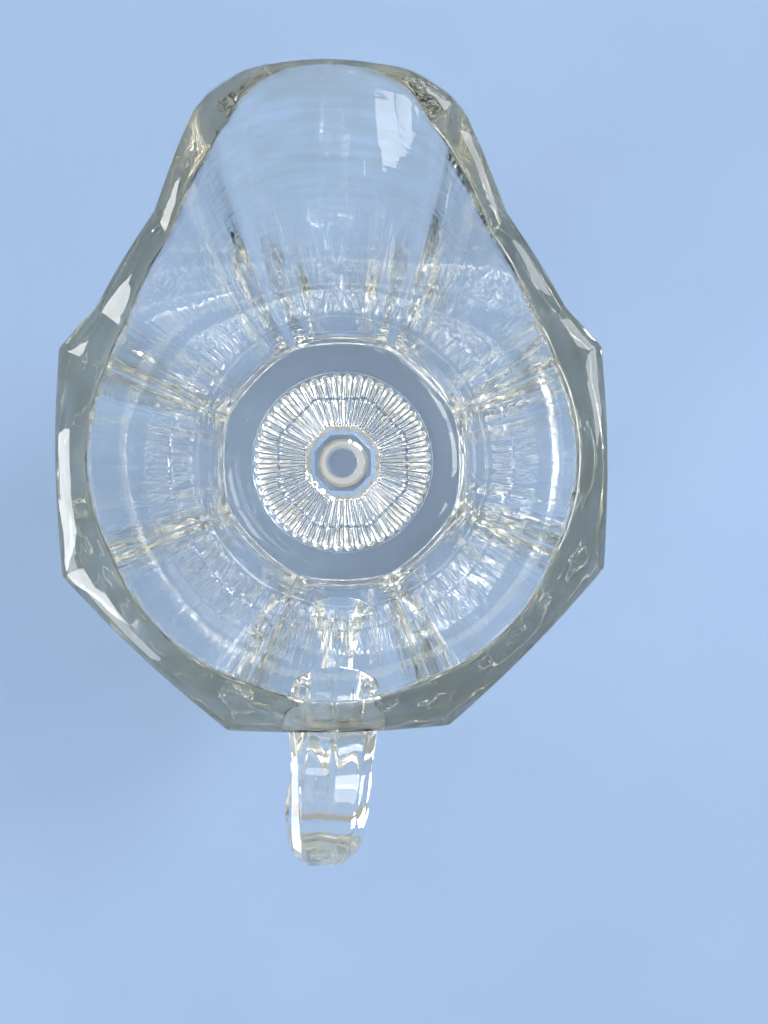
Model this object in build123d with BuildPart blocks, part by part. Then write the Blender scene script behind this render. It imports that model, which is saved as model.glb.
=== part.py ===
"""Pressed glass pitcher: a body with eight flat panels, a pinched and pulled spout,
a rayed underside, and a loop handle that is stuck on hot, opposite the spout.

Millimetres. The origin is the middle of the foot, on the table. +Z is up, +X runs to the
spout and -X to the handle.
"""

from build123d import *
from math import cos, exp, radians, sin, tan
import os

os.makedirs("parts", exist_ok=True)

# Body, outside
body_height = 190.0        # foot to the valleys of the rim
rim_flats = 150.0          # across the flats at the rim's valleys
foot_flats = 132.0         # across the flats at the foot
foot_bevel = 1.5           # pressed bevel round the foot
arch_rise = 3.0            # each panel's top edge is a low arch between two valleys

# Body, inside: the round hollow that the plunger leaves
floor_height = 17.0        # foot to the floor of the hollow
hollow_rim_radius = 65.7
hollow_floor_radius = 60.0
hollow_corner = 9.0        # size of the soft corner between wall and floor

# Spout. Each outside ridge starts on a plain panel and is pulled out as the wall rises:
# share of the way across its panel, pull forwards, pull sideways, height above the valleys
spout_start = 96.0         # height at which the wall begins to lean out
spout_growth = 2.2         # the lean grows as this power of the height
side_ridge = (0.0, -0.5, -1.2, 0.0)
wing_ridge = (0.22, 0.3, -2.2, 1.0)
pinch_ridge = (0.60, 7.6, -2.8, 5.0)
spout_ridge = (0.0, 15.3, 1.7, 11.0)
lip_ridge = (0.18, 21.4, 0.9, 13.5)
tip_ridge = (0.5, 23.1, 0.0, 14.0)
lip_wall = 2.0             # glass at the lip's middle
spout_spread = 38.0        # half angle of the trough, in degrees
rim_swell = 0.06           # rise of the rim's arches beside the spout, per length of arch

# Underside: a rayed disc set up above the foot ring, with two eight-sided steps in it
ray_disc_radius = 46.0
ray_recess = 3.0           # rayed disc above the table
rays_per_panel = 6
ray_depth = 2.8            # depth of a ray's groove at the disc's edge
ray_share = 0.88           # share of the pitch that a groove takes
ray_end = 1.0              # the rays stop this far inside the disc's edge
field_flats = 64.0         # outer eight-sided step
field_step = 1.0
star_flats = 38.0          # inner eight-sided step, with sloped sides
star_step = 5.2
star_slope = 5.0           # how far each sloped side leans in
button_radius = 7.2        # plain round end of the button in the middle of the star
button_bevel = 5.2         # how far the button spreads out towards its root
button_height = 5.0

# Handle
root_top_height = 166.0    # middle of the top root
root_top_width = 30.0
root_top_depth = 34.0
root_low_height = 67.0     # middle of the low root
root_low_width = 32.0
root_low_depth = 44.0
flare_length = 24.0        # a root's flare dies away over this length
strap_top_width = 26.5
strap_low_width = 25.0
strap_thickness = 15.0
loop_reach = 56.0          # outer side of the loop beyond the rim's flats
loop_far_height = 137.0    # height of the loop's outermost point
loop_shoulder = (-30.0, 19.0)   # pull of the curve as it leaves the top root
loop_bend_above = 45.0          # pull of the curve above the outermost point
loop_bend_below = 46.0          # pull of the curve below the outermost point
loop_elbow = (-44.0, 9.0)       # pull of the curve as it comes in to the low root
handle_offset = 1.5        # the roots sit a little off the middle of their panel
handle_lean = 6.0          # the loop leans a little more to the same side
# Corners of the strap's section, as shares of its half width and half thickness: flat outside
# and arched inside at the top root, with facets round its outside from the far bend on
flat_corners = [
    (-0.80, -1.0), (0.90, -1.0), (1.0, -0.50), (0.92, 0.10), (0.54, 0.64), (0.0, 1.0),
    (-0.54, 0.64), (-0.92, 0.10), (-1.0, -0.50),
]
faceted_corners = [
    (-0.24, -1.0), (0.24, -1.0), (0.64, -0.60), (0.90, 0.0), (1.0, 0.72), (0.0, 1.0),
    (-1.0, 0.72), (-0.90, 0.0), (-0.64, -0.60),
]
bend_share = 0.42          # the far bend, as a share of the loop's length

# How finely the curved pieces are made
corner_steps = 4
spout_steps = 6
hollow_turns = [0, 15, 30, 45, 60, 84, 108, 132, 156, 180]
loop_steps = 26

panels = 8
panel_angle = 360 / panels
half_panel = panel_angle / 2
trim = 6.0                 # how far a blank runs past what trims it
blank_top = body_height + tip_ridge[3] + trim


def flats_at(z):
    """Distance across the flats: a straight taper from the foot to the rim's valleys."""
    return foot_flats + (rim_flats - foot_flats) * z / body_height


def corner_at(angle, z):
    """Corner of the plain eight-sided body at a height."""
    radius = flats_at(z) / 2 / cos(radians(half_panel))
    return Vector(radius * cos(radians(angle)), radius * sin(radians(angle)))


def lean(z, top):
    """Share of a ridge's pull at a height: none at spout_start, all of it at its top."""
    return (max(0.0, z - spout_start) / (top - spout_start)) ** spout_growth


def ridge_at(panel, ridge, z):
    """Where a ridge of a panel stands at a height. The front panel is 0, the next one is 1."""
    share, forwards, sideways, rise = ridge
    first = corner_at((panel + 0.5) * panel_angle, z)
    second = corner_at((panel - 0.5) * panel_angle, z)
    pull = Vector(forwards, sideways) * lean(z, body_height + rise)
    return first * (1 - share) + second * share + pull


# Ridges of the left side from the side panel to the lip, each with its panel
ridges = [(1, side_ridge), (1, wing_ridge), (1, pinch_ridge), (0, spout_ridge), (0, lip_ridge)]


def rim_point(panel, ridge):
    """Where a ridge meets the rim: distance forwards and height."""
    height = body_height + ridge[3]
    return ridge_at(panel, ridge, height).X, height


def outside_at(z):
    """Outline of the body above spout_start: two plain corners, then the spout's ridges."""
    left = [corner_at(turns * half_panel, z) for turns in (7, 5)]
    left += [ridge_at(panel, ridge, z) for panel, ridge in ridges]
    tip = ridge_at(0, tip_ridge, z)
    right = [Vector(point.X, -point.Y) for point in reversed(left)]
    return [(point.X, point.Y) for point in left + [tip] + right]


def hollow_radius(z):
    """Radius of the round hollow: a straight draft from the floor to the rim."""
    share = (z - floor_height) / (body_height - floor_height)
    return hollow_floor_radius + (hollow_rim_radius - hollow_floor_radius) * share


def corner_point(step):
    """Point of the soft corner between floor and wall: a quarter circle in short steps."""
    turn = radians(90 * step / corner_steps)
    z = floor_height + hollow_corner * (1 - cos(turn))
    return hollow_radius(z) - hollow_corner * (1 - sin(turn)), z


def hollow_at(z):
    """Outline of the hollow: a circle, pushed out towards the lip by a bell-shaped amount."""
    radius = hollow_radius(z)
    tip, lip = rim_point(0, tip_ridge)
    push = (tip - lip_wall - hollow_radius(lip)) * lean(z, lip)
    half = [
        (radius * cos(radians(turn)) + push * exp(-((turn / spout_spread) ** 3)),
         radius * sin(radians(turn)))
        for turn in hollow_turns
    ]
    return half + [(x, -y) for x, y in reversed(half[1:-1])]


spout_heights = [
    spout_start + (blank_top - spout_start) * step / spout_steps for step in range(spout_steps + 1)
]

# Body without its hollow: the plain lower part, then the part with the spout
with BuildPart() as blank:
    for z in (0, spout_start):
        with BuildSketch(Plane.XY.offset(z)):
            RegularPolygon(flats_at(z) / 2, panels, major_radius=False, rotation=half_panel)
    loft(ruled=True)
    chamfer(blank.faces().sort_by(Axis.Z)[0].edges(), foot_bevel)
    for z in spout_heights:
        with BuildSketch(Plane.XY.offset(z)):
            with BuildLine():
                Polyline(*outside_at(z), close=True)
            make_face()
    loft()

# Hollow: turned up to spout_start, then drawn out into the trough of the spout
with BuildPart() as hollow:
    with BuildSketch(Plane.XZ):
        with BuildLine():
            Polyline(
                *[corner_point(step) for step in range(corner_steps + 1)],
                (hollow_radius(spout_start), spout_start),
                (0, spout_start),
                (0, floor_height),
                close=True,
            )
        make_face()
    revolve(axis=Axis.Z)
    with BuildSketch(Plane.XY.offset(spout_start)):
        Circle(hollow_radius(spout_start))
    for z in spout_heights[1:] + [blank_top + trim]:
        with BuildSketch(Plane.XY.offset(z)):
            with BuildLine():
                Spline(*hollow_at(z), periodic=True)
            make_face()
    loft(ruled=True)

# Rim: what stands above the low arch of a plain panel, as a wedge from the middle outwards
cut_near, cut_far = hollow_floor_radius / 2, rim_flats
cut_top = blank_top + trim
with BuildPart() as arch_cut:
    for reach in (cut_near, cut_far):
        half_width = reach * tan(radians(half_panel))
        with BuildSketch(Plane(origin=(reach, 0, 0), x_dir=(0, 1, 0), z_dir=(1, 0, 0))):
            with BuildLine():
                ThreePointArc(
                    (-half_width, body_height),
                    (0, body_height + arch_rise),
                    (half_width, body_height),
                )
                Polyline(
                    (half_width, body_height),
                    (half_width, cut_top),
                    (-half_width, cut_top),
                    (-half_width, body_height),
                )
            make_face()
    loft(ruled=True)

# What stands above the three panels of the spout, seen from the side: an arch between each
# two ridges, up to the lip, within the angle of those three panels
rim_points = [rim_point(panel, ridge) for panel, ridge in ridges]
with BuildPart() as spout_cut:
    with BuildSketch(Plane.XZ):
        with BuildLine():
            Line((0, body_height), rim_points[0])
            for (x1, z1), (x2, z2) in zip(rim_points[:3], rim_points[1:4]):
                ThreePointArc(
                    (x1, z1), ((x1 + x2) / 2, (z1 + z2) / 2 + rim_swell * (x2 - x1)), (x2, z2)
                )
            Polyline(
                rim_points[3],
                rim_points[4],
                rim_point(0, tip_ridge),
                (cut_far, body_height + tip_ridge[3]),
                (cut_far, cut_top),
                (0, cut_top),
                (0, body_height),
            )
        make_face()
    extrude(amount=cut_far, both=True)
    with BuildSketch():
        spread = cut_far * tan(radians(3 * half_panel))
        Polygon((0, 0), (cut_far, -spread), (cut_far, spread), align=None)
    extrude(amount=cut_top, mode=Mode.INTERSECT)

with BuildPart() as rim_cut:
    add(spout_cut.part)
    for panel in (2, 3, 4, 5, 6):
        add(arch_cut.part.rotate(Axis.Z, panel * panel_angle))

# Underside
field_height = ray_recess + field_step
star_height = field_height + star_step
ray_pitch = panel_angle / rays_per_panel


def ray_groove(near, far, base):
    """One V-groove of the rays, which widens and deepens from the middle outwards."""
    with BuildPart() as groove:
        for reach in (near, far):
            half_width = reach * tan(radians(ray_pitch / 2)) * ray_share
            depth = ray_depth * reach / ray_disc_radius
            with BuildSketch(Plane(origin=(reach, 0, base), x_dir=(0, 1, 0), z_dir=(1, 0, 0))):
                Polygon((-half_width, 0), (half_width, 0), (0, depth), align=None)
        loft(ruled=True)
    return groove.part


inner_groove = ray_groove(star_flats / 2, field_flats / 2 + trim, field_height)
outer_groove = ray_groove(field_flats / 2, ray_disc_radius - ray_end, ray_recess)

# The rays inside the outer step, for one panel: they stop at its straight side
with BuildPart() as panel_rays:
    for ray in range(rays_per_panel):
        add(inner_groove.rotate(Axis.Z, (ray + 0.5) * ray_pitch - half_panel))
    with BuildSketch(Plane.XY.offset(field_height)):
        Rectangle(field_flats, field_flats)
    extrude(amount=ray_depth, mode=Mode.INTERSECT)

with BuildPart() as underside:
    with BuildSketch():
        Circle(ray_disc_radius)
    extrude(amount=ray_recess)
    with BuildSketch():
        RegularPolygon(field_flats / 2, panels, major_radius=False, rotation=half_panel)
    extrude(amount=field_height)
    for flats, z in ((star_flats, field_height), (star_flats - 2 * star_slope, star_height)):
        with BuildSketch(Plane.XY.offset(z)):
            RegularPolygon(flats / 2, panels, major_radius=False, rotation=half_panel)
    loft(ruled=True)
    for bevel, z in ((button_bevel, star_height), (0, star_height - button_height)):
        with BuildSketch(Plane.XY.offset(z)):
            Circle(button_radius + bevel)
    loft(ruled=True, mode=Mode.SUBTRACT)

with BuildPart() as body:
    add(blank.part)
    add(hollow.part, mode=Mode.SUBTRACT)
    add(rim_cut.part, mode=Mode.SUBTRACT)
    add(underside.part, mode=Mode.SUBTRACT)
    with PolarLocations(0, panels * rays_per_panel, start_angle=ray_pitch / 2):
        add(outer_groove, mode=Mode.SUBTRACT)
    with PolarLocations(0, panels):
        add(panel_rays.part, mode=Mode.SUBTRACT)

# Handle: a faceted strap whose two ends flare where they were pressed onto the hot body.
# Its centre line starts and ends a little way inside the wall, which then trims it.
wall_top = -flats_at(root_top_height) / 2
wall_low = -flats_at(root_low_height) / 2
start = Vector(wall_top + trim, root_top_height)
far = Vector(-rim_flats / 2 - loop_reach + strap_thickness / 2, loop_far_height)
end = Vector(wall_low + trim, root_low_height)
with BuildLine() as loop_line:
    Bezier(start, start + Vector(*loop_shoulder), far + Vector(0, loop_bend_above), far)
    Bezier(far, far - Vector(0, loop_bend_below), end + Vector(*loop_elbow), end)
loop = loop_line.wire()


def flare(distance):
    """Share of a root's extra size that is left at a distance along the loop from its end."""
    return max(0.0, 1 - max(0.0, distance - trim) / flare_length) ** 2


def strap_outline(share):
    """Corners of the strap's section at a share of the loop's length, from the top root."""
    top, low = flare(share * loop.length), flare((1 - share) * loop.length)
    width = strap_top_width + (strap_low_width - strap_top_width) * share
    width += (root_top_width - strap_top_width) * top + (root_low_width - strap_low_width) * low
    thickness = strap_thickness
    thickness += (root_top_depth - strap_thickness) * top
    thickness += (root_low_depth - strap_thickness) * low
    bent = min(1.0, share / bend_share)
    return [
        ((x1 + (x2 - x1) * bent) * width / 2, (y1 + (y2 - y1) * bent) * thickness / 2)
        for (x1, y1), (x2, y2) in zip(flat_corners, faceted_corners)
    ]


def strap_plane(share):
    """Plane of the section: square to the loop, and turned along the wall at the roots."""
    top, low = flare(share * loop.length), flare((1 - share) * loop.length)
    point, heading = loop @ share, (loop % share) * (1 - top - low) + Vector(low - top, 0)
    offset = handle_offset + handle_lean * sin(radians(180 * share)) ** 2
    return Plane(
        origin=(point.X, offset, point.Y), x_dir=(0, 1, 0), z_dir=(heading.X, 0, heading.Y)
    )


with BuildPart() as handle:
    for step in range(loop_steps + 1):
        share = step / loop_steps
        with BuildSketch(strap_plane(share)):
            Polygon(*strap_outline(share), align=None)
    loft(ruled=True)
    add(blank.part, mode=Mode.SUBTRACT)

for name, piece in (("pressed_body", body), ("stuck_handle", handle)):
    piece.part.label = name
    export_step(piece.part, f"parts/{name}.step")
    print(name, round(piece.part.volume), "mm3,", piece.part.bounding_box())
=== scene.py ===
"""Looks of the pressed glass pitcher: the pressed body, the handle stuck on hot, and the table.

Lengths are in millimetres, and each mesh is turned into metres as it is made. +Z is up, +X runs
to the spout, -X to the handle, and the origin is the middle of the foot.
"""

import bpy
import numpy as np
from mathutils import Matrix, Vector


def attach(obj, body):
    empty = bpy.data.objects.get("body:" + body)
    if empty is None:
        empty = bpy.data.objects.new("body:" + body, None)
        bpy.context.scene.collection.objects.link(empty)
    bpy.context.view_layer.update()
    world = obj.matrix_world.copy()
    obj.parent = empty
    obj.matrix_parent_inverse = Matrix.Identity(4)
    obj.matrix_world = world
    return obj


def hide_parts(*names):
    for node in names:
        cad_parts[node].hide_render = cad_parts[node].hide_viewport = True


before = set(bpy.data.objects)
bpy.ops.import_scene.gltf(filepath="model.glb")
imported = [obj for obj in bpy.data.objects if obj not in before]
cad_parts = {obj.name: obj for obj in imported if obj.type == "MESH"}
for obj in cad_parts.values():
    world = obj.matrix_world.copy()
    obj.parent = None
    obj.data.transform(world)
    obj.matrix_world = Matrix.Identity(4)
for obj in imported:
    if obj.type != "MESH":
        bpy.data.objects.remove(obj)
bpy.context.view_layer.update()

# The pressed body: one gather of clear glass pressed in an eight-sided mould round a plunger,
# with its spout pinched and pulled out by hand while hot, and its rim fire polished.
# The sizes are those of the frame's body.
body_height = 190.0
rim_flats, foot_flats = 150.0, 132.0
foot_bevel = 1.5
arch_rise = 3.0
floor_height = 17.0
hollow_rim_radius, hollow_floor_radius, hollow_floor_fillet = 65.7, 60.0, 9.0
spout_start, spout_growth, spout_spread = 96.0, 2.2, 38.0
lip_wall = 2.0
panel_angle = np.radians(45.0)

# The ridges of the left side, from the middle of the lip to the handle: the two plain corners
# that a ridge lies between, its share of the way, its pull forwards and sideways, its height
# above the rim's valleys, how far along each side its edge is rounded, the columns of the
# mesh up to the next ridge, and the rise of the rim's arch on the way
ridge_table = np.array([
    (22.5, -22.5, 0.50, 23.1, 0.0, 14.0, 9.0, 20, 0.1),
    (22.5, -22.5, 0.18, 21.4, 0.9, 13.5, 6.0, 18, 0.3),
    (22.5, 22.5, 0.00, 15.3, 1.7, 11.0, 4.0, 26, 1.6),
    (67.5, 22.5, 0.60, 7.6, -2.8, 5.0, 4.5, 26, 1.5),
    (67.5, 22.5, 0.22, 0.3, -2.2, 1.0, 3.0, 18, 0.6),
    (67.5, 67.5, 0.00, -0.5, -1.2, 0.0, 0.7, 72, arch_rise),
    (112.5, 112.5, 0.00, 0.0, 0.0, 0.0, 0.7, 72, arch_rise),
    (157.5, 157.5, 0.00, 0.0, 0.0, 0.0, 0.7, 72, arch_rise),
])
# The right side mirrors the left. The columns and the arch belong to the gap after a ridge, so
# there they move on by one ridge
mirrored = ridge_table[:0:-1] * [-1, -1, 1, 1, -1, 1, 1, 1, 1]
mirrored[:, 7:] = ridge_table[-2::-1, 7:]
ridge_table = np.vstack([ridge_table, mirrored])
first, second, share, forwards, sideways, rise, edge_round, gap_columns, gap_arch = ridge_table.T
gap_columns = gap_columns.astype(int)
ridge_count = len(ridge_table)
columns = int(gap_columns.sum())

# For each column of the mesh: the ridge before it, and its step along the gap to the next ridge
column_ridge = np.repeat(np.arange(ridge_count), gap_columns)
column_step = np.concatenate([np.arange(count) for count in gap_columns])
round_steps = 5


def ridge_at(ridge, z):
    """Place of a ridge at a height: between two corners of the tapering eight-sided body,
    plus a pull that grows as a power of the height above the spout's start."""
    ridge = ridge % ridge_count
    flats = foot_flats + (rim_flats - foot_flats) * z / body_height
    radius = flats / 2 / np.cos(panel_angle / 2)
    lean = np.clip(z - spout_start, 0, None) / (body_height + rise[ridge] - spout_start)
    lean = lean**spout_growth
    one, two, part = np.radians(first[ridge]), np.radians(second[ridge]), share[ridge]
    x = radius * ((1 - part) * np.cos(one) + part * np.cos(two)) + forwards[ridge] * lean
    y = radius * ((1 - part) * np.sin(one) + part * np.sin(two)) + sideways[ridge] * lean
    return np.stack([x, y], -1)


def toward(start, end):
    """Unit vector from one point to another, and their distance."""
    step = end - start
    length = np.linalg.norm(step, axis=-1, keepdims=True)
    return step / length, length


def wall_outline(z):
    """The body's outside at heights z, one per column: straight between the ridges, with each
    ridge's edge rounded by a quadratic curve that starts and ends a little way along its sides."""
    here, ahead = ridge_at(column_ridge, z), ridge_at(column_ridge + 1, z)
    before, beyond = ridge_at(column_ridge - 1, z), ridge_at(column_ridge + 2, z)
    along, length = toward(here, ahead)
    back, forth = toward(here, before)[0], toward(ahead, beyond)[0]
    near = edge_round[column_ridge][:, None]
    far = edge_round[(column_ridge + 1) % ridge_count][:, None]
    count = gap_columns[column_ridge][:, None]
    step = column_step[:, None]
    middle = here + along * (
        near + (length - near - far) * (step - round_steps) / (count - 2 * round_steps)
    )
    part = 0.5 + 0.5 * step / round_steps
    leaving = here + near * ((1 - part) ** 2 * back + part**2 * along)
    part = 0.5 - 0.5 * (count - step) / round_steps
    coming = ahead + far * ((1 - part) ** 2 * -along + part**2 * forth)
    at_start, at_end = step < round_steps, step > count - round_steps
    return np.where(at_start, leaving, np.where(at_end, coming, middle))


def rim_height():
    """Height of the rim over each column: a low arch from one ridge's height to the next's."""
    level = np.full(columns, body_height)
    here, ahead = ridge_at(column_ridge, level), ridge_at(column_ridge + 1, level)
    along, length = toward(here, ahead)
    way = np.clip(((wall_outline(level) - here) * along).sum(-1) / length[:, 0], 0, 1)
    low, high = rise[column_ridge], rise[(column_ridge + 1) % ridge_count]
    return body_height + low + (high - low) * way + gap_arch[column_ridge] * 4 * way * (1 - way)


# The angle round the hollow that lies opposite each column of the outside
plain = wall_outline(np.full(columns, spout_start))
column_turn = np.unwrap(np.arctan2(plain[:, 1], plain[:, 0]))


def hollow_radius(z):
    """Radius of the round hollow: a straight draft from floor to rim."""
    way = (z - floor_height) / (body_height - floor_height)
    return hollow_floor_radius + (hollow_rim_radius - hollow_floor_radius) * way


def hollow_outline(z):
    """The hollow at heights z: a circle, pushed out to the lip by an amount that falls off
    with the angle from the spout's middle as a bell does, and grows with the height."""
    lip = body_height + rise[0]
    tip = ridge_at(np.array([0]), np.array([lip]))[0, 0]
    lean = (np.clip(z - spout_start, 0, None) / (lip - spout_start)) ** spout_growth
    off = np.abs((column_turn + np.pi) % (2 * np.pi) - np.pi) / np.radians(spout_spread)
    push = (tip - lip_wall - hollow_radius(lip)) * lean * np.exp(-(off**3))
    radius = hollow_radius(z)
    return np.stack([radius * np.cos(column_turn) + push, radius * np.sin(column_turn)], -1)


# Underside: a rayed disc above the foot ring, with two eight-sided steps and a plain button.
# Where a level face turns down a slope, the turn is spread from soft_edge before its edge to
# soft_start past it, which lies soft_drop lower
disc_radius, disc_recess = 46.0, 3.0
ray_count, ray_depth, ray_end = 48, 2.8, 45.0
ray_half_width = 0.88 * np.pi / ray_count
ray_bottom = 0.12
ray_round = ray_half_width * ray_end
field_half, field_step, step_width, line_width = 32.0, 1.0, 0.5, 0.5
star_half, star_slope, star_step = 19.0, 5.0, 5.2
button_radius, button_bevel, button_height = 7.2, 5.2, 5.0
soft_edge, soft_start, soft_drop = 0.3, 0.1, 0.12
ring_round = 0.4
even_turn = np.arange(columns) * 2 * np.pi / columns


def eight_sided(half):
    """Distance from the middle to an octagon's outline, given its half size across the flats."""
    off = (even_turn + panel_angle / 2) % panel_angle - panel_angle / 2
    return half / np.cos(off)


def ray_groove(radius):
    """Depth of the rays over a circle or outline: a V-groove with a slightly rounded bottom,
    deeper and wider outwards, whose outer end is half round."""
    pitch = 2 * np.pi / ray_count
    off = np.abs((even_turn % pitch) - pitch / 2) / ray_half_width
    past = np.clip(radius - (ray_end - ray_round), 0, None) / ray_round
    across = np.sqrt(off**2 + past**2)
    depth = np.sqrt(across**2 + ray_bottom**2) - ray_bottom
    hollowed = 1 - depth / (np.sqrt(1 + ray_bottom**2) - ray_bottom)
    return ray_depth * radius / disc_radius * np.clip(hollowed, 0, None)


def ring(radius, z):
    """A row of the underside, evenly spaced round the middle."""
    radius, z = radius * np.ones(columns), z * np.ones(columns)
    return np.stack([radius * np.cos(even_turn), radius * np.sin(even_turn), z], -1)


field_top = disc_recess + field_step
star_top = field_top + star_step
button_end = star_top - button_height
button_foot = button_radius + button_bevel
star_edge = eight_sided(star_half - star_slope)
rows = [
    ring(button_radius * 0.5, button_end),
    ring(button_radius - soft_edge, button_end),
    ring(button_radius, button_end + soft_start),
]
for way in (0.3, 0.6, 0.9):
    rows.append(ring(button_radius + button_bevel * way, button_end + button_height * way))
rows += [
    ring(button_foot - soft_start, star_top - soft_drop),
    ring(button_foot + soft_edge, star_top),
    ring(star_edge - soft_start * 2, star_top),
    ring(star_edge + soft_start, star_top - soft_drop),
]
for way in (0.35, 0.7):
    rows.append(ring(eight_sided(star_half - star_slope * (1 - way)), star_top - star_step * way))
rows.append(ring(eight_sided(star_half), field_top))
for half in np.linspace(star_half + line_width, field_half - line_width, 7):
    radius = eight_sided(half)
    rows.append(ring(radius, field_top + ray_groove(radius)))
rows.append(ring(eight_sided(field_half), field_top))
rows.append(ring(eight_sided(field_half + step_width), disc_recess))
inner_edge = eight_sided(field_half + step_width + line_width)
for way in (0.0, 0.25, 0.5, 0.75, 1.0):
    radius = inner_edge + (ray_end - ray_round - inner_edge) * way
    rows.append(ring(radius, disc_recess + ray_groove(radius)))
for radius in np.linspace(ray_end - ray_round * 0.75, ray_end, 4):
    rows.append(ring(radius, disc_recess + ray_groove(radius)))
rows += [
    ring(disc_radius - ring_round, disc_recess),
    ring(disc_radius, disc_recess - ring_round),
    ring(disc_radius, ring_round),
    ring(disc_radius + ring_round * 0.3, ring_round * 0.3),
    ring(disc_radius + ring_round, 0.0),
]

# Foot ring and bevel: the evenly spaced columns shift over to those of the panels
foot = wall_outline(np.zeros(columns))
foot_rows = []
for turn in np.radians((0, 30, 60, 90)):
    inset = foot_bevel * (1 - np.sin(turn)) / (foot_flats / 2)
    foot_rows.append(
        np.column_stack([foot * (1 - inset), np.full(columns, foot_bevel * (1 - np.cos(turn)))])
    )
for way in (0.35, 0.7):
    rows.append(rows[-1] + (foot_rows[0] - rows[-1]) * way)
rows += foot_rows

# Outside wall, rim and inside wall. The rim has a small round at its outer edge, then a
# shoulder whose slope dies away inwards, then a flat, and a small round at its inner edge.
# Where the wall is thin, each of them takes no more than a share of its width
rim_shoulder, shoulder_share = 7.5, 0.65
rim_edge, edge_share, edge_turn = 0.7, 0.15, np.radians(60)
rim_round, round_share = 1.2, 0.3
wall_rows, hollow_rows = 38, 44
rim = rim_height()
outer_top, inner_top = wall_outline(rim), hollow_outline(rim)
inward, rim_width = toward(outer_top, inner_top)
rim_width = rim_width[:, 0]
shoulder = np.minimum(rim_shoulder, rim_width * shoulder_share)
edge = np.minimum(rim_edge, rim_width * edge_share)
shoulder_start = edge * (1 - np.cos(edge_turn))
shoulder_drop = (shoulder - shoulder_start) / (2 * np.tan(edge_turn))
edge_foot = rim - shoulder_drop - edge * np.sin(edge_turn)
for way in np.linspace(0, 1, wall_rows)[1:]:
    z = foot_bevel + (edge_foot - foot_bevel) * way
    rows.append(np.column_stack([wall_outline(z), z]))
for turn in edge_turn * np.array((0.25, 0.5, 0.75)):
    z = edge_foot + edge * np.sin(turn)
    place = wall_outline(z) + inward * (edge * (1 - np.cos(turn)))[:, None]
    rows.append(np.column_stack([place, z]))
for way in (0.0, 0.15, 0.3, 0.45, 0.6, 0.8, 1.0):
    z = rim - shoulder_drop * (1 - way) ** 2
    place = outer_top + inward * (shoulder_start + (shoulder - shoulder_start) * way)[:, None]
    rows.append(np.column_stack([place, z]))
inner_round = np.minimum(rim_round, rim_width * round_share)
flat_start, flat_end = rows[-1][:, :2], inner_top - inward * inner_round[:, None]
for way in (0.33, 0.67):
    rows.append(np.column_stack([flat_start + (flat_end - flat_start) * way, rim]))
for turn in np.radians((90, 72, 54, 36, 18)):
    z = rim - inner_round * (1 - np.sin(turn))
    place = hollow_outline(z) - inward * (inner_round * (1 - np.cos(turn)))[:, None]
    rows.append(np.column_stack([place, z]))
fillet_top = floor_height + hollow_floor_fillet
for way in np.linspace(0, 1, hollow_rows):
    z = rim - inner_round + (fillet_top - rim + inner_round) * way
    rows.append(np.column_stack([hollow_outline(z), z]))


def hollow_ring(radius, z):
    """A level circle of the hollow, one point per column."""
    x, y = radius * np.cos(column_turn), radius * np.sin(column_turn)
    return np.stack([x, y, np.full(columns, z)], -1)


# Rounded corner of the hollow, and its floor
fillet_middle = hollow_radius(fillet_top) - hollow_floor_fillet
for turn in np.radians(np.linspace(0, 90, 10)[1:]):
    rows.append(hollow_ring(
        fillet_middle + hollow_floor_fillet * np.cos(turn),
        fillet_top - hollow_floor_fillet * np.sin(turn),
    ))
for radius in (38.0, 26.0, 14.0, 5.0):
    rows.append(hollow_ring(radius, floor_height))


def closed_glass(name, rings, first_pole, last_pole, sharp=0.35):
    """A closed surface from rows of points: quads between neighbouring rows, which wrap round,
    and a fan of triangles to a pole at each end. Its edges are sharp where the faces turn by
    more than an angle in radians."""
    grid = np.array(rings)
    height, width = grid.shape[:2]
    points = np.vstack([grid.reshape(-1, 3), [first_pole, last_pole]]) / 1000
    index = np.arange(height * width).reshape(height, width)
    beside = np.roll(index, -1, axis=1)
    quads = np.stack([index[:-1], beside[:-1], beside[1:], index[1:]], -1).reshape(-1, 4)
    pole = np.full(width, height * width)
    fans = np.vstack([
        np.stack([beside[0], index[0], pole], -1),
        np.stack([index[-1], beside[-1], pole + 1], -1),
    ])
    mesh = bpy.data.meshes.new(name)
    mesh.vertices.add(len(points))
    mesh.vertices.foreach_set("co", points.ravel())
    corners = np.concatenate([quads.ravel(), fans.ravel()])
    sizes = np.concatenate([np.full(len(quads), 4), np.full(len(fans), 3)])
    mesh.loops.add(len(corners))
    mesh.loops.foreach_set("vertex_index", corners)
    mesh.polygons.add(len(sizes))
    mesh.polygons.foreach_set("loop_start", np.concatenate([[0], np.cumsum(sizes)[:-1]]))
    mesh.update(calc_edges=True)
    mesh.validate()
    mesh.polygons.foreach_set("use_smooth", np.ones(len(sizes), bool))
    mesh.set_sharp_from_angle(angle=sharp)
    made = bpy.data.objects.new(name, mesh)
    bpy.context.scene.collection.objects.link(made)
    return made


body = closed_glass("body_of_glass", rows, (0, 0, button_end), (0, 0, floor_height))


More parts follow.
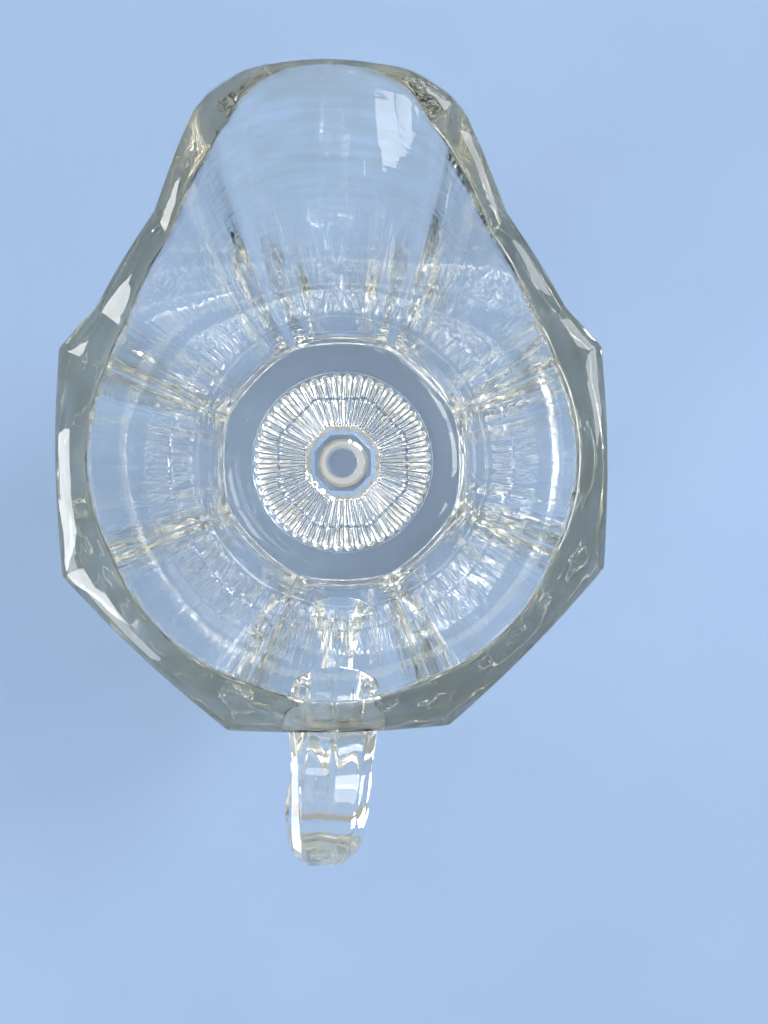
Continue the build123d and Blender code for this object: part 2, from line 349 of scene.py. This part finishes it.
class Thread:
    """A socket of a node tree. What is worked out from sockets is written as plain Python."""

    def __init__(self, tree, socket=None):
        self.tree, self.socket = tree, socket

    def node(self, kind, settings=None, values=None, out=0):
        """Adds a node: first its settings, then the values or links of its sockets."""
        made = self.tree.nodes.new(kind)
        for name, setting in (settings or {}).items():
            if name == "stops":
                ramp = made.color_ramp
                while len(ramp.elements) < len(setting):
                    ramp.elements.new(1.0)
                for stop, (place, colour) in zip(ramp.elements, setting):
                    stop.position, stop.color = place, colour
            else:
                setattr(made, name, setting)
        for name, value in (values or {}).items():
            if isinstance(value, Thread):
                self.tree.links.new(value.socket, made.inputs[name])
            else:
                made.inputs[name].default_value = value
        return Thread(self.tree, made.outputs[out]) if len(made.outputs) else made

    def other(self, out):
        """Another output of the same node."""
        return Thread(self.tree, self.socket.node.outputs[out])

    def maths(self, operation, *terms):
        """A Math node on one or two sockets or numbers."""
        return self.node("ShaderNodeMath", {"operation": operation}, dict(enumerate(terms)))

    def __add__(self, other):
        return self.maths("ADD", self, other)

    def __mul__(self, other):
        return self.maths("MULTIPLY", self, other)

    def __sub__(self, other):
        return self.maths("SUBTRACT", self, other)

    def __rsub__(self, other):
        return self.maths("SUBTRACT", other, self)

    __radd__, __rmul__ = __add__, __mul__


def emptied(owner):
    """The node tree of a material or of the world, emptied and ready for nodes."""
    owner.use_nodes = True
    owner.node_tree.nodes.clear()
    return Thread(owner.node_tree)


# The glass. Colours: of its surface, clear or dulled by marks, of its thickness, and of a painted
# olive shade in the level laps of the rim, which begins at a height in metres. That painted shade
# stands in for the darker light seen through the rim's thick glass
clear_tint, dulled_tint = (0.985, 0.99, 0.985, 1), (0.96, 0.965, 0.955, 1)
olive, olive_density = (0.82, 0.79, 0.60, 1), 4.0
unshaded_rim_tint, painted_rim_shade = (1.0, 1.0, 1.0, 1), (0.66, 0.61, 0.45, 1)
rim_shade_height, rim_shade_growth = 0.15, 50
lap_rim_shade, mark_rim_shade = 0.6, 0.4
refraction = 1.5
# Patterns: how many waves, marks, flutes, laps or streaks there are to the metre, how far they
# are drawn out, and what each adds to the relief. Flutes and laps are rolled round the body at
# a radius in metres
waves_a_metre, marks_a_metre, streaks_a_metre = 34.0, 60.0, 260.0
flutes_a_metre, laps_a_metre, rolled_radius = 800.0, 400.0, 0.07
flute_inwards, flute_upwards, lap_around = 0.2, 0.04, 0.1
streak_drawn = (1, 1, 0.12)
wave_relief, flute_relief, streak_relief = 0.5, 0.07, 0.03
level_lap_relief, upright_lap_relief = 0.3, 0.01
mark_roughness = 0.02


def clear_glass(name, bump_depth, rolled):
    """Clear pressed glass: colourless on its surface, faintly olive through its thickness, with
    soft waves and light marks. Where rolled, it also has the fine upright flutes and level laps
    of a pressed wall, and a painted olive shade on the laps of the rim's upward faces. If not,
    it has the streaks of a strap that was drawn out hot."""
    material = bpy.data.materials.new(name)
    make = emptied(material)
    place = make.node("ShaderNodeTexCoord", out="Object")
    waves = make.node(
        "ShaderNodeTexNoise", {}, {"Vector": place, "Scale": waves_a_metre, "Detail": 0.0}
    )
    marks = make.node(
        "ShaderNodeTexNoise", {}, {"Vector": place, "Scale": marks_a_metre, "Detail": 2.0}
    )
    relief = waves * wave_relief
    tint = make.node(
        "ShaderNodeValToRGB", {"stops": [(0.35, clear_tint), (0.75, dulled_tint)]}, {"Fac": marks}
    )
    if rolled:
        x = make.node("ShaderNodeSeparateXYZ", {}, {"Vector": place}, out="X")
        y, z = x.other("Y"), x.other("Z")
        radius = make.maths("SQRT", x * x + y * y)
        around = make.maths("ARCTAN2", y, x) * rolled_radius
        fluted = make.node("ShaderNodeCombineXYZ", {}, {
            "X": around, "Y": radius * flute_inwards, "Z": z * flute_upwards
        })
        lapped = make.node("ShaderNodeCombineXYZ", {}, {
            "X": around * lap_around, "Y": radius, "Z": z
        })
        flutes = make.node(
            "ShaderNodeTexNoise", {}, {"Vector": fluted, "Scale": flutes_a_metre, "Detail": 0.0}
        )
        laps = make.node(
            "ShaderNodeTexNoise", {}, {"Vector": lapped, "Scale": laps_a_metre, "Detail": 1.0}
        )
        normal = place.other("Normal")
        facing = make.node("ShaderNodeSeparateXYZ", {}, {"Vector": normal}, out="Z")
        high = make.node(
            "ShaderNodeClamp", {}, {"Value": z * rim_shade_growth - rim_shade_height * rim_shade_growth}
        )
        level = make.maths("MAXIMUM", facing, 0.0) * high
        upright = 1 - make.maths("ABSOLUTE", facing)
        lap_relief = level * level_lap_relief + upright * upright_lap_relief
        relief = relief + flutes * upright * flute_relief + laps * lap_relief
        # Painted shade: the rim's upward faces are tinted darker and olive, streaked by the laps
        # and marks
        rim_shade_tint = make.node(
            "ShaderNodeValToRGB",
            {"stops": [(0.35, unshaded_rim_tint), (0.62, painted_rim_shade)]},
            {"Fac": laps * lap_rim_shade + marks * mark_rim_shade},
        )
        tint = make.node(
            "ShaderNodeMix", {"data_type": "RGBA", "blend_type": "MULTIPLY"},
            {"Factor": level, 6: tint, 7: rim_shade_tint}, out=2,
        )
    else:
        drawn = make.node(
            "ShaderNodeVectorMath", {"operation": "MULTIPLY"}, {0: place, 1: streak_drawn}
        )
        streaks = make.node(
            "ShaderNodeTexNoise", {}, {"Vector": drawn, "Scale": streaks_a_metre, "Detail": 1.0}
        )
        relief = relief + streaks * streak_relief
    bump = make.node(
        "ShaderNodeBump", {}, {"Height": relief, "Strength": 1.0, "Distance": bump_depth}
    )
    shader = make.node("ShaderNodeBsdfPrincipled", {}, {
        "Base Color": tint,
        "Roughness": marks * mark_roughness,
        "Normal": bump,
        "IOR": refraction,
        "Transmission Weight": 1.0,
    })
    volume = make.node("ShaderNodeVolumeAbsorption", {}, {
        "Color": olive, "Density": olive_density
    })
    make.node("ShaderNodeOutputMaterial", {}, {"Surface": shader, "Volume": volume})
    return material


body.data.materials.append(clear_glass("body_glass", bump_depth=0.0004, rolled=True))
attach(body, "root")
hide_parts("pressed_body")

# The handle: a strap of hot glass, pressed onto the top of the back panel, drawn out in a loop
# and pressed on again low down. Its section is flat outside at the top root, and faceted from
# the far bend on. The sizes are those of the frame's handle.
wall_high, wall_low = 166.0, 67.0
trim = 6.0
loop_reach, loop_far_height = 56.0, 137.0
loop_shoulder, loop_elbow = (-30.0, 19.0), (-44.0, 9.0)
loop_bend_above, loop_bend_below = 45.0, 46.0
handle_offset, handle_lean = 1.5, 6.0
strap_top_width, strap_low_width, strap_thickness = 26.5, 25.0, 15.0
root_top_width, root_top_depth, root_low_width, root_low_depth = 30.0, 34.0, 32.0, 44.0
flare_length = 24.0
root_sunk = 0.5
loop_samples, root_halvings, strap_row_count = 400, 30, 110


def back_panel(z):
    """Distance from the middle to the back panel, which leans out as it rises."""
    return (foot_flats + (rim_flats - foot_flats) * z / body_height) / 2


# The loop's middle line: two cubic curves that meet at its far bend, each given by its ends and
# by the pulls with which it leaves one and comes in to the other
top_root = np.array([-back_panel(wall_high) + trim, wall_high])
far_bend = np.array([-rim_flats / 2 - loop_reach + strap_thickness / 2, loop_far_height])
low_root = np.array([-back_panel(wall_low) + trim, wall_low])
upper_curve = np.array([
    top_root, top_root + loop_shoulder, far_bend + (0, loop_bend_above), far_bend
])
lower_curve = np.array([
    far_bend, far_bend - (0, loop_bend_below), low_root + loop_elbow, low_root
])


def bezier(curve, t):
    """Point and heading on a cubic curve with four control points."""
    t = t[..., None]
    a, b, c, d = curve
    point = a * (1 - t) ** 3 + 3 * b * t * (1 - t) ** 2 + 3 * c * t**2 * (1 - t) + d * t**3
    heading = 3 * ((b - a) * (1 - t) ** 2 + 2 * (c - b) * t * (1 - t) + (d - c) * t**2)
    return point, heading


dense = np.linspace(0, 1, loop_samples)
dense_points = np.vstack([bezier(upper_curve, dense)[0], bezier(lower_curve, dense)[0][1:]])
dense_length = np.concatenate([
    [0], np.cumsum(np.linalg.norm(np.diff(dense_points, axis=0), axis=1))
])
loop_length = dense_length[-1]


def loop_at(way):
    """Point and unit heading of the loop's middle line at shares of its length."""
    t = np.interp(way * loop_length, dense_length, np.linspace(0, 2, len(dense_length)))
    upper, lower = bezier(upper_curve, np.minimum(t, 1)), bezier(lower_curve, np.maximum(t - 1, 0))
    point = np.where((t < 1)[..., None], upper[0], lower[0])
    heading = np.where((t < 1)[..., None], upper[1], lower[1])
    return point, heading / np.linalg.norm(heading, axis=-1, keepdims=True)


def flare(distance):
    """How much of a root's flare is left at a distance along the loop from its end: all of it
    inside the wall, then the square of what remains of the flare's length."""
    return np.clip(1 - np.clip(distance - trim, 0, None) / flare_length, 0, None) ** 2


# Corners of the section, as shares of its half width and half thickness: flat outside and
# arched inside at the top root, with facets round its outside from the far bend on
flat_corners = np.array([
    (-0.80, -1.0), (0.90, -1.0), (1.0, -0.50), (0.92, 0.10), (0.54, 0.64), (0.0, 1.0),
    (-0.54, 0.64), (-0.92, 0.10), (-1.0, -0.50),
])
faceted_corners = np.array([
    (-0.24, -1.0), (0.24, -1.0), (0.64, -0.60), (0.90, 0.0), (1.0, 0.72), (0.0, 1.0),
    (-1.0, 0.72), (-0.90, 0.0), (-0.64, -0.60),
])
bend_share = 0.42
corner_steps = 12
corner_soft = 0.16
side_steps = np.arange(len(flat_corners) * corner_steps)


def rounded(corners):
    """A polygon as an even run of points, with its corners rounded by quadratic curves that
    start and end a share of each side's length away."""
    here = side_steps // corner_steps
    along = (side_steps % corner_steps / corner_steps)[:, None]
    ahead, beyond = (here + 1) % len(corners), (here + 2) % len(corners)
    one, two = corners[here], corners[ahead]
    part = 0.5 + 0.5 * along / corner_soft
    leaving = one + corner_soft * (
        (1 - part) ** 2 * (corners[here - 1] - one) + part**2 * (two - one)
    )
    part = 0.5 - 0.5 * (1 - along) / corner_soft
    coming = two + corner_soft * (
        (1 - part) ** 2 * (one - two) + part**2 * (corners[beyond] - two)
    )
    middle = one + (two - one) * along
    at_start, at_end = along < corner_soft, along > 1 - corner_soft
    return np.where(at_start, leaving, np.where(at_end, coming, middle))


flat_section, faceted_section = rounded(flat_corners), rounded(faceted_corners)


def strap_surface(way):
    """The strap at shares of the loop's length, one column per point of its section: the
    section is set square to the loop, and widens and thickens into a flare at each root."""
    point, heading = loop_at(way)
    top, low = flare(way * loop_length), flare((1 - way) * loop_length)
    width = strap_top_width + (strap_low_width - strap_top_width) * way
    width += (root_top_width - strap_top_width) * top + (root_low_width - strap_low_width) * low
    thick = strap_thickness + (root_top_depth - strap_thickness) * top
    thick += (root_low_depth - strap_thickness) * low
    bent = np.clip(way / bend_share, 0, 1)[..., None]
    section = flat_section + (faceted_section - flat_section) * bent
    across, inwards = section[..., 0] * width / 2, section[..., 1] * thick / 2
    side = handle_offset + handle_lean * np.sin(np.pi * way) ** 2
    heading = heading * (1 - top - low)[..., None] + np.stack([low - top, 0 * top], -1)
    heading = heading / np.linalg.norm(heading, axis=-1, keepdims=True)
    x = point[..., 0] - heading[..., 1] * inwards
    z = point[..., 1] + heading[..., 0] * inwards
    return np.stack([x, side + across, z], -1)


def root_way(low, high):
    """Share of the loop at which each column of the strap meets the wall: the gap between them
    is halved again and again."""
    low, high = np.full(len(side_steps), low), np.full(len(side_steps), high)
    for _ in range(root_halvings):
        middle = (low + high) / 2
        place = strap_surface(middle)
        inside = place[:, 0] > -back_panel(place[:, 2]) + root_sunk
        low, high = np.where(inside, middle, low), np.where(inside, high, middle)
    return (low + high) / 2


top_way, low_way = root_way(0.0, 0.25), root_way(1.0, 0.75)
strap_rows = [
    strap_surface(top_way + (low_way - top_way) * (0.5 - 0.5 * np.cos(turn)))
    for turn in np.pi * np.linspace(0, 1, strap_row_count)
]
handle = closed_glass(
    "loop_handle", strap_rows, strap_rows[0].mean(0), strap_rows[-1].mean(0)
)
handle.data.materials.append(clear_glass("handle_glass", bump_depth=0.0005, rolled=False))
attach(handle, "root")
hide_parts("stuck_handle")

# The table: a plain pale blue disc, matt so that it shows no lamp, and set a hair below the
# foot so that their faces don't coincide
floor_radius, floor_gap = 1.4, 0.0002
dim_blue, pale_blue = (0.40, 0.56, 0.82, 1), (0.42, 0.58, 0.84, 1)
bpy.ops.mesh.primitive_circle_add(vertices=96, radius=floor_radius, fill_type="NGON")
floor = bpy.context.object
floor.name = "table"
floor.location.z = -floor_gap
paint = bpy.data.materials.new("pale_table")
make = emptied(paint)
place = make.node("ShaderNodeTexCoord", out="Object")
cloudy = make.node("ShaderNodeTexNoise", {}, {"Vector": place, "Scale": 9.0, "Detail": 2.0})
tone = make.node(
    "ShaderNodeValToRGB", {"stops": [(0.3, dim_blue), (0.7, pale_blue)]}, {"Fac": cloudy}
)
shader = make.node("ShaderNodeBsdfPrincipled", {}, {
    "Base Color": tone, "Roughness": 0.7, "Specular IOR Level": 0.0
})
make.node("ShaderNodeOutputMaterial", {}, {"Surface": shader})
floor.data.materials.append(paint)

# Soft studio light: a pale dome that is darker and warmer near the horizon, and soft boxes that
# face the pitcher
horizon, haze = (0.56, 0.55, 0.52, 1), (0.68, 0.67, 0.64, 1)
high_cloud, zenith = (1.0, 1.0, 1.0, 1), (0.9, 0.93, 0.98, 1)
sky_strength = 0.72
lamp_aim = Vector((0, 0, 0.1))
world = bpy.data.worlds.new("studio")
bpy.context.scene.world = world
make = emptied(world)
direction = make.node("ShaderNodeTexCoord", out="Generated")
height = make.node("ShaderNodeSeparateXYZ", {}, {"Vector": direction}, out="Z")
sky = make.node(
    "ShaderNodeValToRGB",
    {"stops": [(0.0, horizon), (0.30, haze), (0.55, high_cloud), (0.9, zenith)]},
    {"Fac": height},
)
light = make.node("ShaderNodeBackground", {}, {"Color": sky, "Strength": sky_strength})
make.node("ShaderNodeOutputWorld", {}, {"Surface": light})


def soft_lamp(name, place, wide, high, power):
    """A soft box that faces the pitcher and that the camera doesn't see: sizes and place in
    metres, power in watts."""
    lamp = bpy.data.lights.new(name, "AREA")
    lamp.shape, lamp.size, lamp.size_y, lamp.energy = "RECTANGLE", wide, high, power
    made = bpy.data.objects.new(name, lamp)
    bpy.context.scene.collection.objects.link(made)
    made.location = place
    made.rotation_euler = (lamp_aim - Vector(place)).to_track_quat("-Z", "Y").to_euler()
    made.visible_camera = False
    return made


soft_lamp("window_side", (0.5, -1.1, 1.1), wide=0.7, high=0.7, power=9.0)
soft_lamp("room_side", (-0.6, 0.9, 0.9), wide=0.5, high=0.5, power=4.0)
# Two that only show as reflections in the glass: a window beyond the left side, and a low card
glint = soft_lamp("window_glint", (-0.12, 0.95, 0.85), wide=0.65, high=0.7, power=17.0)
card = soft_lamp("low_card", (-0.25, 0.22, 0.09), wide=0.2, high=0.14, power=0.5)
glint.visible_diffuse = card.visible_diffuse = False

# The camera: held by hand a little over two hands above the rim, looking almost straight down,
# with the spout at the top of the picture. Light may pass through many walls of glass.
lens_length, sensor_width = 27.04, 36.0
camera_place = (-0.0017, -0.0043, 0.3995)
camera_tilt = Vector(np.radians((3.42, -2.40, -0.58)))
glass_bounces, mirror_bounces = 32, 16
camera_data = bpy.data.cameras.new("camera")
camera_data.lens = lens_length
camera_data.sensor_width = sensor_width
camera = bpy.data.objects.new("camera", camera_data)
bpy.context.scene.collection.objects.link(camera)
straight_down = Matrix(((0, -1, 0), (-1, 0, 0), (0, 0, -1)))
tilted = Matrix.Rotation(camera_tilt.length, 3, camera_tilt.normalized())
right, down, onwards = tilted @ straight_down
camera.matrix_world = Matrix((
    (right[0], -down[0], -onwards[0], camera_place[0]),
    (right[1], -down[1], -onwards[1], camera_place[1]),
    (right[2], -down[2], -onwards[2], camera_place[2]),
    (0, 0, 0, 1),
))
bpy.context.scene.camera = camera
bpy.context.scene.view_settings.view_transform = "Standard"
bpy.context.scene.cycles.max_bounces = glass_bounces
bpy.context.scene.cycles.transmission_bounces = glass_bounces
bpy.context.scene.cycles.glossy_bounces = mirror_bounces
